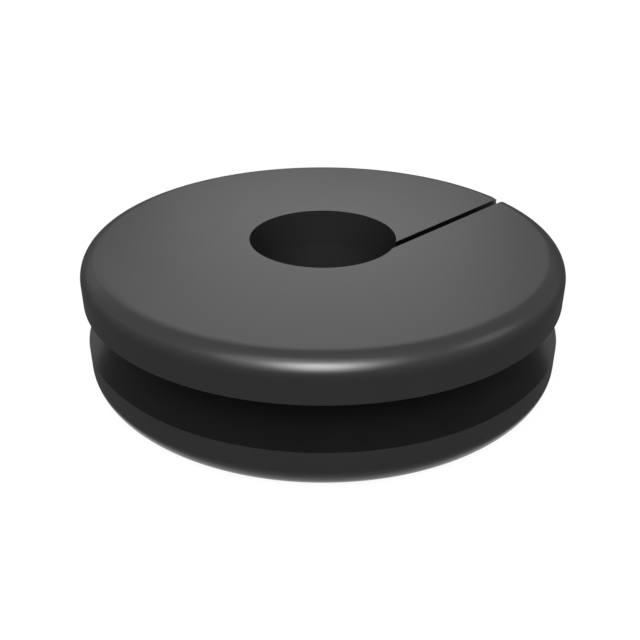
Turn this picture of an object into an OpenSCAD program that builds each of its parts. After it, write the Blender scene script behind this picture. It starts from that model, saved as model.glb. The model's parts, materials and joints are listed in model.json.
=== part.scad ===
// Split rubber cable grommet, moulded in one piece.
// A ring of rubber with two equal round flanges, a deep groove between them that the
// edge of a panel sits in, a bore down the middle for the cable, and one straight slit
// from the bore out to the rim, through which the cable is slipped in sideways.
// Millimetres, +Z up. The origin is on the bore's axis, at the lower flange's flat face.
// The slit runs out towards +X, on the -Y side of the axis.

/* [Flanges] */
// Outer diameter of both flanges
flange_d = 26; // [20:0.5:40]
// Thickness of each flange
flange_t = 2.2; // [1.5:0.1:5]
// Radius of the rounding on each flange's outer edge
edge_r = 1.05; // [0.2:0.05:2.1]

/* [Panel groove] */
// Width of the groove, which takes a panel of this thickness
groove_w = 2.5; // [1:0.1:6]
// Diameter at the bottom of the groove, which fills the panel's hole
groove_d = 16; // [11:0.5:19]

/* [Cable bore] */
// Diameter of the bore
bore_d = 8; // [3:0.5:12]

/* [Slit] */
// Width of the slit
slit_w = 0.45; // [0.1:0.05:1.2]
// How far inside the side of the bore the slit's outer wall lies
slit_inset = 0.3; // [0.1:0.1:1]

/* [Hidden] */
flange_r = flange_d / 2;
bore_r = bore_d / 2;
body_h = 2 * flange_t + groove_w;
rim_land = 0.1;                     // least upright wall left between rounding and groove
rounding = min(edge_r, flange_t - rim_land);
slit_y = -(bore_r - slit_inset);    // the slit's outer wall
cut = 1;                            // how far a cut runs past the faces that it opens
around = 180;                       // segments round the axis

// Half section of one flange, flat face down: square at the groove, rounded outside
module flange_section() {
    square([flange_r - rounding, flange_t]);
    translate([flange_r - rounding, rounding]) {
        square([rounding, flange_t - rounding]);
        intersection() {
            circle(r = rounding, $fn = around);
            translate([0, -rounding])
                square(rounding);
        }
    }
}

// Half section of the whole ring, before the bore: flange, waist, flange turned over
module ring_section() {
    flange_section();
    translate([0, flange_t])
        square([groove_d / 2, groove_w]);
    translate([0, body_h])
        mirror([0, 1])
            flange_section();
}

// What the cable bore takes away
module bore() {
    translate([0, 0, -cut])
        cylinder(r = bore_r, h = body_h + 2 * cut, $fn = around);
}

// What the slit takes away, from inside the bore to past the rim
module slit() {
    translate([0, slit_y, -cut])
        cube([flange_r + cut, slit_w, body_h + 2 * cut]);
}

module grommet() {
    color("#303031")
        difference() {
            rotate_extrude($fn = around)
                ring_section();
            bore();
            slit();
        }
}

grommet();
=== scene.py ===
import json
import math

import bpy
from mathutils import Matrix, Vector


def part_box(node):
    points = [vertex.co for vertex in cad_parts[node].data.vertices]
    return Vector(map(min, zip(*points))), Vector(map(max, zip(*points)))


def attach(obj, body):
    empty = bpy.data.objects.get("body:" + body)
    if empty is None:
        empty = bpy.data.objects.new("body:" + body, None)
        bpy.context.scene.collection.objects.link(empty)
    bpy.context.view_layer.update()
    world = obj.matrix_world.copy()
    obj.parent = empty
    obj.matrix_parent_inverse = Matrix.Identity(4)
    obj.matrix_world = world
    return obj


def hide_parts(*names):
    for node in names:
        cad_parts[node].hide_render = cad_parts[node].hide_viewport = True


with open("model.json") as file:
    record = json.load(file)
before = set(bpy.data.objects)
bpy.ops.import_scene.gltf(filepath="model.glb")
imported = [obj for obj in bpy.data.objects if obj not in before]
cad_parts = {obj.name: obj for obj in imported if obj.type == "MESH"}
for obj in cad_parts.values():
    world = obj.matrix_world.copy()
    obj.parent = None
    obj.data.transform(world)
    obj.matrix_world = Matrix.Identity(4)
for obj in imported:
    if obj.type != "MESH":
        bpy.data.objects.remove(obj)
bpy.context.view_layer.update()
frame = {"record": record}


# The grommet: one soft ring, moulded in one shot, that lines a hole in a sheet and guards a cable.
# Two flanges with rounded outer edges stand either side of a deep groove, and a plain bore runs
# through the middle. One straight cut, off the middle, opens the ring so that it snaps over a cable.

METRES_PER_MM = 0.001
edge_radius = 1.05 * METRES_PER_MM
slit_width = 0.45 * METRES_PER_MM
slit_inset = 0.3 * METRES_PER_MM    # how far inside the side of the bore its outer wall lies
lip_corner = 11.75 * METRES_PER_MM  # how far out its inner wall runs, to the trimmed corner

mounts = {mount["name"]: mount for mount in frame["record"]["mounts"]}
low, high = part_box("grommet")
flange_radius = (high.x - low.x) / 2
height = high.z - low.z
bore_radius = mounts["cable_bore"]["dims"]["r_mm"] * METRES_PER_MM
waist_radius = mounts["panel_groove"]["dims"]["r_mm"] * METRES_PER_MM
groove_width = mounts["panel_groove"]["dims"]["length_mm"] * METRES_PER_MM
flange_thickness = (height - groove_width) / 2
slit_outer_side = slit_inset - bore_radius
slit_inner_side = slit_outer_side + slit_width


def add(tree, kind, sockets=None, **settings):
    """Adds a node. Settings are its own options; sockets are its inputs, each a value or a link."""
    node = tree.nodes.new(kind)
    for name, value in settings.items():
        setattr(node, name, value)
    for name, value in (sockets or {}).items():
        if isinstance(value, bpy.types.NodeSocket):
            tree.links.new(value, node.inputs[name])
        else:
            node.inputs[name].default_value = value
    return node


def half_section():
    """The lower half of the ring's section as (radius, height, rounded) corners, from the bore out.
    The two points just past the rounding hold the flat faces flat."""
    past_rounding = 1.05 * edge_radius
    return [
        (bore_radius, 0, 0),
        (flange_radius - past_rounding, 0, 0),
        (flange_radius, 0, 1),
        (flange_radius, past_rounding, 0),
        (flange_radius, flange_thickness, 0),
        (waist_radius, flange_thickness, 0),
    ]


def section_outline():
    """The ring's section as a closed line of edges; its corners say which of them are rounded."""
    lower = half_section()
    upper = [(radius, height - level, rounded) for radius, level, rounded in reversed(lower)]
    corners = lower + upper
    outline = bpy.data.meshes.new("grommet_section")
    loop = [(i, (i + 1) % len(corners)) for i in range(len(corners))]
    outline.from_pydata([(radius, 0, level) for radius, level, _ in corners], loop, [])
    rounded = outline.attributes.new("rounded", "FLOAT", "POINT")
    rounded.data.foreach_set("value", [float(corner[2]) for corner in corners])
    return outline


def slit_ring_tree():
    """Sweeps a section round the Z axis, from one wall of a straight slit to the other."""
    under_one_step = 0.0001
    crisp_bend = math.radians(30)
    plain_face_corners = 4

    tree = bpy.data.node_groups.new("ring_with_slit", "GeometryNodeTree")
    sides = tree.interface
    sides.new_socket("Section", in_out="INPUT", socket_type="NodeSocketGeometry")
    for name in ("Edge radius", "Slit inner side", "Slit outer side", "Lip corner"):
        sides.new_socket(name, in_out="INPUT", socket_type="NodeSocketFloat")
    for name in ("Rounding steps", "Steps round"):
        sides.new_socket(name, in_out="INPUT", socket_type="NodeSocketInt")
    for name in ("Moulded face", "Cut face"):
        sides.new_socket(name, in_out="INPUT", socket_type="NodeSocketMaterial")
    sides.new_socket("Ring", in_out="OUTPUT", socket_type="NodeSocketGeometry")
    given = add(tree, "NodeGroupInput").outputs

    # the section, with its outer corners rounded, keeps each point's radius and height
    corner = add(tree, "GeometryNodeInputNamedAttribute", {"Name": "rounded"}, data_type="FLOAT")
    rounding = add(tree, "ShaderNodeMath", {
        0: corner.outputs["Attribute"], 1: given["Edge radius"],
    }, operation="MULTIPLY")
    drawn = add(tree, "GeometryNodeMeshToCurve", {"Mesh": given["Section"]})
    filleted = add(tree, "GeometryNodeFilletCurve", {
        "Curve": drawn.outputs["Curve"],
        "Count": given["Rounding steps"],
        "Radius": rounding.outputs["Value"],
    }, mode="POLY")
    section = add(tree, "GeometryNodeCaptureAttribute", {"Geometry": filleted.outputs["Curve"]})
    section.capture_items.new("VECTOR", "Point")
    tree.links.new(add(tree, "GeometryNodeInputPosition").outputs["Position"], section.inputs["Point"])
    point = add(tree, "ShaderNodeSeparateXYZ", {"Vector": section.outputs["Point"]})

    # the rail says how far round each step is, from 0 at one wall of the slit to 1 at the other
    line = add(tree, "GeometryNodeCurvePrimitiveLine", {"End": (0.0, 0.0, 1.0)})
    stops = add(tree, "ShaderNodeMath", {0: given["Steps round"], 1: 1.0})
    rail = add(tree, "GeometryNodeResampleCurve", {
        "Curve": line.outputs["Curve"], "Count": stops.outputs["Value"],
    })
    turned = add(tree, "GeometryNodeCaptureAttribute", {"Geometry": rail.outputs["Curve"]})
    turned.capture_items.new("FLOAT", "Turn")
    tree.links.new(add(tree, "GeometryNodeSplineParameter").outputs["Factor"], turned.inputs["Turn"])

    swept = add(tree, "GeometryNodeCurveToMesh", {
        "Curve": turned.outputs["Geometry"],
        "Profile Curve": section.outputs["Geometry"],
        "Fill Caps": True,
    })

    # the inner lip's outer corner is trimmed at 45 degrees: the first step reaches no further out
    # than the lip, and past the lip the turn starts where the trim meets each circle
    lip = add(tree, "ShaderNodeCombineXYZ", {"X": given["Lip corner"], "Y": given["Slit inner side"]})
    lip_reach = add(tree, "ShaderNodeVectorMath", {0: lip.outputs["Vector"]}, operation="LENGTH")
    later = add(tree, "ShaderNodeMath", {
        0: turned.outputs["Turn"], 1: under_one_step,
    }, operation="GREATER_THAN")
    first_limit = add(tree, "ShaderNodeMath", {0: lip_reach.outputs["Value"], 1: later.outputs["Value"]})
    radius = add(tree, "ShaderNodeMath", {
        0: point.outputs["X"], 1: first_limit.outputs["Value"],
    }, operation="MINIMUM")
    spread = add(tree, "ShaderNodeMath", {
        0: given["Lip corner"], 1: given["Slit inner side"],
    }, operation="SUBTRACT")
    trim = add(tree, "ShaderNodeMath", {0: spread.outputs["Value"], 1: math.sqrt(2)}, operation="DIVIDE")
    trim_share = add(tree, "ShaderNodeMath", {
        0: trim.outputs["Value"], 1: radius.outputs["Value"],
    }, operation="DIVIDE")
    trim_cosine = add(tree, "ShaderNodeMath", {0: trim_share.outputs["Value"], 1: 1.0}, operation="MINIMUM")
    trim_turn = add(tree, "ShaderNodeMath", {0: trim_cosine.outputs["Value"]}, operation="ARCCOSINE")
    trim_start = add(tree, "ShaderNodeMath", {
        0: trim_turn.outputs["Value"], 1: math.radians(45),
    }, operation="SUBTRACT")
    trimmed = add(tree, "ShaderNodeMath", {
        0: radius.outputs["Value"], 1: lip_reach.outputs["Value"],
    }, operation="GREATER_THAN")

    # at each radius the turn starts and ends where that circle meets the slit's walls
    inner_sine = add(tree, "ShaderNodeMath", {
        0: given["Slit inner side"], 1: radius.outputs["Value"],
    }, operation="DIVIDE")
    wall_start = add(tree, "ShaderNodeMath", {0: inner_sine.outputs["Value"]}, operation="ARCSINE")
    trim_lead = add(tree, "ShaderNodeMath", {
        0: trim_start.outputs["Value"], 1: wall_start.outputs["Value"],
    }, operation="SUBTRACT")
    start = add(tree, "ShaderNodeMath", {
        0: trimmed.outputs["Value"], 1: trim_lead.outputs["Value"], 2: wall_start.outputs["Value"],
    }, operation="MULTIPLY_ADD")
    outer_sine = add(tree, "ShaderNodeMath", {
        0: given["Slit outer side"], 1: radius.outputs["Value"],
    }, operation="DIVIDE")
    wall_end = add(tree, "ShaderNodeMath", {0: outer_sine.outputs["Value"]}, operation="ARCSINE")
    end = add(tree, "ShaderNodeMath", {0: wall_end.outputs["Value"], 1: math.tau})
    angle = add(tree, "ShaderNodeMapRange", {
        "Value": turned.outputs["Turn"], "To Min": start.outputs["Value"], "To Max": end.outputs["Value"],
    })
    cosine = add(tree, "ShaderNodeMath", {0: angle.outputs["Result"]}, operation="COSINE")
    sine = add(tree, "ShaderNodeMath", {0: angle.outputs["Result"]}, operation="SINE")
    along = add(tree, "ShaderNodeMath", {
        0: radius.outputs["Value"], 1: cosine.outputs["Value"],
    }, operation="MULTIPLY")
    aside = add(tree, "ShaderNodeMath", {
        0: radius.outputs["Value"], 1: sine.outputs["Value"],
    }, operation="MULTIPLY")
    place = add(tree, "ShaderNodeCombineXYZ", {
        "X": along.outputs["Value"], "Y": aside.outputs["Value"], "Z": point.outputs["Z"],
    })
    ring = add(tree, "GeometryNodeSetPosition", {
        "Geometry": swept.outputs["Mesh"], "Position": place.outputs["Vector"],
    })
    outward = add(tree, "GeometryNodeFlipFaces", {"Mesh": ring.outputs["Geometry"]})

    # corners stay crisp, and the rounded edges and the walls are smooth
    bend = add(tree, "GeometryNodeInputMeshEdgeAngle").outputs["Unsigned Angle"]
    crisp = add(tree, "FunctionNodeCompare", {"A": bend, "B": crisp_bend}, operation="GREATER_THAN")
    smooth = add(tree, "GeometryNodeSetShadeSmooth", {"Geometry": outward.outputs["Mesh"]}, domain="FACE")
    edged = add(tree, "GeometryNodeSetShadeSmooth", {
        "Geometry": smooth.outputs["Geometry"],
        "Selection": crisp.outputs["Result"],
        "Shade Smooth": False,
    }, domain="EDGE")
    plain = add(tree, "GeometryNodeRemoveAttribute", {
        "Geometry": edged.outputs["Geometry"], "Name": "rounded",
    })

    # the knife's two walls have a material of their own, darkened as painted shade for the narrow slit;
    # only they have more than four corners
    whole = add(tree, "GeometryNodeRealizeInstances", {"Geometry": plain.outputs["Geometry"]})
    moulded = add(tree, "GeometryNodeSetMaterial", {
        "Geometry": whole.outputs["Geometry"], "Material": given["Moulded face"],
    })
    neighbours = add(tree, "GeometryNodeInputMeshFaceNeighbors")
    walls = add(tree, "ShaderNodeMath", {
        0: neighbours.outputs["Vertex Count"], 1: plain_face_corners,
    }, operation="GREATER_THAN")
    cut = add(tree, "GeometryNodeSetMaterial", {
        "Geometry": moulded.outputs["Geometry"],
        "Selection": walls.outputs["Value"],
        "Material": given["Cut face"],
    })
    add(tree, "NodeGroupOutput", {"Ring": cut.outputs["Geometry"]})
    return tree


def linear(code):
    """An sRGB hex colour as the linear RGBA that the shaders take."""
    channels = [int(code[i:i + 2], 16) / 255 for i in (1, 3, 5)]
    return [c / 12.92 if c <= 0.04045 else ((c + 0.055) / 1.055) ** 2.4 for c in channels] + [1.0]


def moulded_black_rubber():
    """Soft black rubber, pressed in a smooth steel mould. A thin skin of mould release, drawn as the
    coat, gives its faces their low, even sheen. Handling has rubbed the skin off the rims' upright
    bands, which look matt and a little grey; the grey is partly wear and partly painted reflection,
    in place of the sheen they lose. Dust and talc grey the bore and the groove, and most of the skin
    is taken out of the bore as painted shade."""
    rubbed_depth = 0.235 * METRES_PER_MM
    untouched_level = 0.85 * METRES_PER_MM
    touched_level = 1.1 * METRES_PER_MM
    resting_level = 0.75 * METRES_PER_MM
    cloud_size = 2.5 * METRES_PER_MM
    grain_size = 0.15 * METRES_PER_MM
    grain_depth = 0.0006 * METRES_PER_MM
    hair = 0.005 * METRES_PER_MM
    groove_loss = 0.2
    # the bore loses most of the skin as painted shade: it stands in for the shadowed table that its walls
    # would reflect
    bore_painted_shade = 0.7
    # the grey on the rims' upright bands is partly wear and partly painted reflection, in place of their
    # lost sheen
    rim_wear_and_painted_reflection_grey = 0.68

    material = bpy.data.materials.new("moulded_black_rubber")
    material.use_nodes = True
    tree = material.node_tree
    shader = tree.nodes["Principled BSDF"]
    shader.inputs["IOR"].default_value = 1.5
    shader.inputs["Specular IOR Level"].default_value = 0.05
    shader.inputs["Coat IOR"].default_value = 1.5
    shader.inputs["Coat Roughness"].default_value = 0.24
    place = add(tree, "ShaderNodeTexCoord").outputs["Object"]
    level = add(tree, "ShaderNodeSeparateXYZ", {0: place}).outputs["Z"]
    across = add(tree, "ShaderNodeVectorMath", {0: place, 1: (1.0, 1.0, 0.0)}, operation="MULTIPLY")
    reach = add(tree, "ShaderNodeVectorMath", {0: across.outputs["Vector"]}, operation="LENGTH")
    in_bore = add(tree, "ShaderNodeMath", {
        0: reach.outputs["Value"], 1: bore_radius + hair,
    }, operation="LESS_THAN")
    in_groove = add(tree, "ShaderNodeMath", {
        0: level, 1: height / 2, 2: groove_width / 2 + hair,
    }, operation="COMPARE")

    # the skin runs out towards the rims' upright bands, but it stays whole on the groove's sides,
    # and low down near the table, where fingers don't reach
    rim_band_fade = add(tree, "ShaderNodeMapRange", {
        "Value": reach.outputs["Value"],
        "From Min": flange_radius - rubbed_depth, "From Max": flange_radius,
        "To Min": 1.0, "To Max": 0.0,
    })
    near_table = add(tree, "ShaderNodeMapRange", {
        "Value": level, "From Min": untouched_level, "From Max": touched_level,
        "To Min": 1.0, "To Max": 0.0,
    })
    unrubbed = add(tree, "ShaderNodeMath", {
        0: rim_band_fade.outputs["Result"], 1: near_table.outputs["Result"],
    }, operation="MAXIMUM")
    skin = add(tree, "ShaderNodeMath", {
        0: unrubbed.outputs["Value"], 1: in_groove.outputs["Value"],
    }, operation="MAXIMUM")

    # talc takes up some of it in the groove, and in the bore most of it goes as painted shade, for the dark
    # table seen there
    thin_in_groove = add(tree, "ShaderNodeMath", {
        0: in_groove.outputs["Value"], 1: -groove_loss, 2: 1.0,
    }, operation="MULTIPLY_ADD")
    talc_and_painted_shade_thinning = add(tree, "ShaderNodeMath", {
        0: in_bore.outputs["Value"], 1: -bore_painted_shade, 2: thin_in_groove.outputs["Value"],
    }, operation="MULTIPLY_ADD")
    thickness = add(tree, "ShaderNodeMath", {
        0: skin.outputs["Value"], 1: talc_and_painted_shade_thinning.outputs["Value"],
    }, operation="MULTIPLY")

    # its sheen dulls at a glancing angle, as a grained surface's does, except low on the edge that
    # the ring rests on, where the skin lies thickest
    facing = add(tree, "ShaderNodeLayerWeight", {"Blend": 0.5}).outputs["Facing"]
    dulling = add(tree, "ShaderNodeMapRange", {
        "Value": facing, "From Min": 0.13, "From Max": 0.77, "To Min": 1.0, "To Max": 0.0,
    })
    grazing = add(tree, "ShaderNodeMapRange", {
        "Value": facing, "From Min": 0.45, "From Max": 1.0, "To Min": 0.18, "To Max": 0.0,
    })
    glancing = add(tree, "ShaderNodeMath", {
        0: dulling.outputs["Result"], 1: grazing.outputs["Result"],
    }, operation="MAXIMUM")
    resting = add(tree, "ShaderNodeMapRange", {
        "Value": level, "From Min": resting_level, "From Max": edge_radius,
        "To Min": 0.9, "To Max": 0.0,
    })
    sheen_left = add(tree, "ShaderNodeMath", {
        0: glancing.outputs["Value"], 1: resting.outputs["Result"],
    }, operation="MAXIMUM")
    sheen = add(tree, "ShaderNodeMath", {
        0: thickness.outputs["Value"], 1: sheen_left.outputs["Value"],
    }, operation="MULTIPLY")
    tree.links.new(sheen.outputs["Value"], shader.inputs["Coat Weight"])

    # the greying: wear and painted reflection on the rims' upright bands, dust that thins out from the
    # bore, and talc in the groove, all of it in faint clouds
    clouds = add(tree, "ShaderNodeTexNoise", {
        "Vector": place, "Scale": 1 / cloud_size, "Detail": 3, "Roughness": 0.5,
    }).outputs["Fac"]
    dusty = add(tree, "ShaderNodeMapRange", {
        "Value": reach.outputs["Value"],
        "From Min": bore_radius, "From Max": flange_radius - edge_radius,
        "To Min": 0.5, "To Max": 0.0,
    })
    talc = add(tree, "ShaderNodeMath", {
        0: in_groove.outputs["Value"], 1: 0.15, 2: dusty.outputs["Result"],
    }, operation="MULTIPLY_ADD")
    # grey where the skin is off the rims: partly wear, partly painted reflection in place of their sheen
    rim_wear_and_painted_reflection = add(tree, "ShaderNodeMath", {
        0: skin.outputs["Value"], 1: -rim_wear_and_painted_reflection_grey, 2: rim_wear_and_painted_reflection_grey,
    }, operation="MULTIPLY_ADD")
    settled = add(tree, "ShaderNodeMath", {0: talc.outputs["Value"], 1: rim_wear_and_painted_reflection.outputs["Value"]})
    uneven = add(tree, "ShaderNodeMath", {0: clouds, 1: 0.2, 2: -0.05}, operation="MULTIPLY_ADD")
    greying = add(tree, "ShaderNodeMath", {0: settled.outputs["Value"], 1: uneven.outputs["Value"]})
    shade = add(tree, "ShaderNodeMix", {
        0: greying.outputs["Value"], 6: linear("#0D0D0D"), 7: linear("#212121"),
    }, data_type="RGBA")
    tree.links.new(shade.outputs[2], shader.inputs["Base Color"])
    worn = add(tree, "ShaderNodeMapRange", {"Value": clouds, "To Min": 0.7, "To Max": 0.8})
    tree.links.new(worn.outputs["Result"], shader.inputs["Roughness"])

    # the mould's own grain is a few hundredths of a millimetre, so it is drawn coarser, to show
    grain = add(tree, "ShaderNodeTexNoise", {
        "Vector": place, "Scale": 1 / grain_size, "Detail": 2, "Roughness": 0.5,
    })
    grained = add(tree, "ShaderNodeBump", {
        "Height": grain.outputs["Fac"], "Strength": 1.0, "Distance": grain_depth,
    })
    tree.links.new(grained.outputs["Normal"], shader.inputs["Normal"])
    tree.links.new(grained.outputs["Normal"], shader.inputs["Coat Normal"])
    return material


def knife_cut_rubber_painted_shade():
    """The walls that the knife left in the slit: clean and dust-free, with the drag lines of
    the blade running down them, drawn a little coarser than they are, to show. Their darker colour
    is painted shade for the deep, narrow slit."""
    line_spacing = 0.12 * METRES_PER_MM
    line_depth = 0.002 * METRES_PER_MM
    line_stretch = 0.05

    material = bpy.data.materials.new("knife_cut_rubber_painted_shade")
    material.use_nodes = True
    tree = material.node_tree
    shader = tree.nodes["Principled BSDF"]
    shader.inputs["IOR"].default_value = 1.45
    place = add(tree, "ShaderNodeTexCoord").outputs["Object"]
    down = add(tree, "ShaderNodeMapping", {"Vector": place, "Scale": (1.0, 1.0, line_stretch)})
    lines = add(tree, "ShaderNodeTexNoise", {
        "Vector": down.outputs["Vector"], "Scale": 1 / line_spacing, "Detail": 2, "Roughness": 0.5,
    }).outputs["Fac"]
    # the darker colour is painted shade for the deep, narrow slit
    shade = add(tree, "ShaderNodeMix", {
        0: lines, 6: linear("#030303"), 7: linear("#070707"),
    }, data_type="RGBA")
    tree.links.new(shade.outputs[2], shader.inputs["Base Color"])
    polish = add(tree, "ShaderNodeMapRange", {"Value": lines, "To Min": 0.2, "To Max": 0.3})
    tree.links.new(polish.outputs["Result"], shader.inputs["Roughness"])
    drag = add(tree, "ShaderNodeBump", {"Height": lines, "Strength": 1.0, "Distance": line_depth})
    tree.links.new(drag.outputs["Normal"], shader.inputs["Normal"])
    return material


def build(name, outline, tree, inputs):
    """Runs a geometry tree over an outline and keeps the result as a plain mesh."""
    draft = bpy.data.objects.new(name + "_draft", outline)
    bpy.context.scene.collection.objects.link(draft)
    modifier = draft.modifiers.new("build", "NODES")
    modifier.node_group = tree
    sockets = {item.name: item.identifier for item in tree.interface.items_tree}
    for socket, value in inputs.items():
        modifier[sockets[socket]] = value
    evaluated = draft.evaluated_get(bpy.context.evaluated_depsgraph_get())
    mesh = bpy.data.meshes.new_from_object(evaluated)
    bpy.data.objects.remove(draft)
    mesh.name = name
    piece = bpy.data.objects.new(name, mesh)
    bpy.context.scene.collection.objects.link(piece)
    return piece


ring = build("grommet_rubber", section_outline(), slit_ring_tree(), {
    "Edge radius": edge_radius,
    "Slit inner side": slit_inner_side,
    "Slit outer side": slit_outer_side,
    "Lip corner": lip_corner,
    "Rounding steps": 20,
    "Steps round": 320,
    "Moulded face": moulded_black_rubber(),
    "Cut face": knife_cut_rubber_painted_shade(),
})
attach(ring, "root")
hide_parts("grommet")


# The table top that the grommet lies on: plain white card, much larger than the part and a hair
# below it. It shows as white to the camera and in the rubber's sheen, and it keeps the faint shadow
# under the lower rim.

table_level = low.z - 0.01 * METRES_PER_MM
table_reach = 60 * flange_radius
table_corners = [
    (x * table_reach, y * table_reach, table_level) for x, y in ((-1, -1), (1, -1), (1, 1), (-1, 1))
]
table_mesh = bpy.data.meshes.new("white_table")
table_mesh.from_pydata(table_corners, [], [(0, 1, 2, 3)])
table = bpy.data.objects.new("white_table", table_mesh)
bpy.context.scene.collection.objects.link(table)


def seen_directly(tree):
    """1 for a ray from the camera, a reflection or a clear surface, and 0 for spread light."""
    ray = add(tree, "ShaderNodeLightPath").outputs
    mirrored = add(tree, "ShaderNodeMath", {0: ray["Is Camera Ray"], 1: ray["Is Glossy Ray"]})
    return add(tree, "ShaderNodeMath", {
        0: mirrored.outputs["Value"], 1: ray["Is Transmission Ray"],
    }).outputs["Value"]


def matt_white_card():
    """Uncoated white card: an even, bright surface with no shine. Seen directly it is mostly plain
    white, and the rest of it is lit as card is, so that it still shows a shadow."""
    plain_share = 0.85

    material = bpy.data.materials.new("matt_white_card")
    material.use_nodes = True
    tree = material.node_tree
    card = tree.nodes["Principled BSDF"]
    card.inputs["Base Color"].default_value = linear("#F0F0F0")
    card.inputs["Roughness"].default_value = 1.0
    card.inputs["Specular IOR Level"].default_value = 0.0
    white = add(tree, "ShaderNodeEmission", {"Color": linear("#FFFFFF"), "Strength": 1.0})
    share = add(tree, "ShaderNodeMath", {0: seen_directly(tree), 1: plain_share}, operation="MULTIPLY")
    shown = add(tree, "ShaderNodeMixShader", {
        0: share.outputs["Value"], 1: card.outputs["BSDF"], 2: white.outputs["Emission"],
    })
    tree.links.new(shown.outputs["Shader"], tree.nodes["Material Output"].inputs["Surface"])
    return material


table_mesh.materials.append(matt_white_card())


# The camera: it looks down on the ring from a corner, from less than two ring widths away, and
# aims a little below the ring's middle.

middle = Vector((0, 0, (low.z + high.z) / 2))
azimuth = math.radians(-45)
elevation = math.radians(26.68)
distance = 3.588 * flange_radius
aim_left = 0.0032 * distance
aim_below = 0.0324 * distance
towards_camera = Vector((
    math.sin(azimuth) * math.cos(elevation),
    -math.cos(azimuth) * math.cos(elevation),
    math.sin(elevation),
))
right = Vector((math.cos(azimuth), math.sin(azimuth), 0))
up = towards_camera.cross(right)
aim = middle - aim_left * right - aim_below * up

camera = bpy.data.objects.new("camera", bpy.data.cameras.new("camera"))
camera.data.sensor_width = 36
camera.data.lens = 46.25
camera.data.clip_start = 0.001
camera.location = middle + distance * towards_camera
camera.rotation_mode = "QUATERNION"
camera.rotation_quaternion = (aim - camera.location).to_track_quat("-Z", "Y")
bpy.context.scene.collection.objects.link(camera)
bpy.context.scene.camera = camera


# The studio light: a softbox on the camera's side, bright in its middle and dim at its edge, a weak
# wide one behind the part that lends its top a soft sheen, small ones at its left back and its
# right, and faint light from all round, which reads as a white room in reflections.


def softbox(name, turn, lift, half_angle, radiance, away, tall=1.0):
    """A round or oval lamp that faces the part from away metres, turned from the camera's side and
    lifted above the table, in degrees. Half of its width fills half_angle as the part sees it, and
    tall is its height for its width. No two lamps of one softbox stand equally far away, so that
    none lies in another's plane."""
    heading, rise = azimuth + math.radians(turn), math.radians(lift)
    out = Vector((
        math.sin(heading) * math.cos(rise), -math.cos(heading) * math.cos(rise), math.sin(rise),
    ))
    lamp = bpy.data.lights.new(name, "AREA")
    lamp.shape = "ELLIPSE"
    lamp.size = 2 * away * math.tan(math.radians(half_angle))
    lamp.size_y = tall * lamp.size
    face = math.pi * lamp.size * lamp.size_y / 4
    lamp.energy = math.pi * radiance * face
    holder = bpy.data.objects.new(name, lamp)
    holder.location = middle + away * out
    holder.rotation_euler = out.to_track_quat("Z", "Y").to_euler()
    bpy.context.scene.collection.objects.link(holder)


softbox("key_core", -1.5, 39.0, 11.5, 8.9, 2.3, tall=1.35)
softbox("key_middle", -1.5, 38.5, 21, 4.8, 2.5, tall=1.12)
softbox("key_edge", -7, 42, 35, 1.55, 2.7)
softbox("back_low", 179, 14.5, 14, 2.3, 2.1, tall=0.6)
softbox("back_middle", 182, 29, 14, 0.65, 2.3)
softbox("back_edge", 184, 30, 25, 0.72, 2.5)
softbox("back_left", 217, 14, 15, 0.6, 2.5)
softbox("side", 85, 31, 13, 1.1, 2.5)

room_light = 0.12
studio = bpy.data.worlds.new("white_room")
bpy.context.scene.world = studio
studio.use_nodes = True
room = studio.node_tree
strength = add(room, "ShaderNodeMapRange", {
    "Value": seen_directly(room), "To Min": room_light, "To Max": 1.0,
})
sky = room.nodes["Background"]
sky.inputs["Color"].default_value = linear("#FFFFFF")
room.links.new(strength.outputs["Result"], sky.inputs["Strength"])

bpy.context.scene.view_settings.view_transform = "Standard"
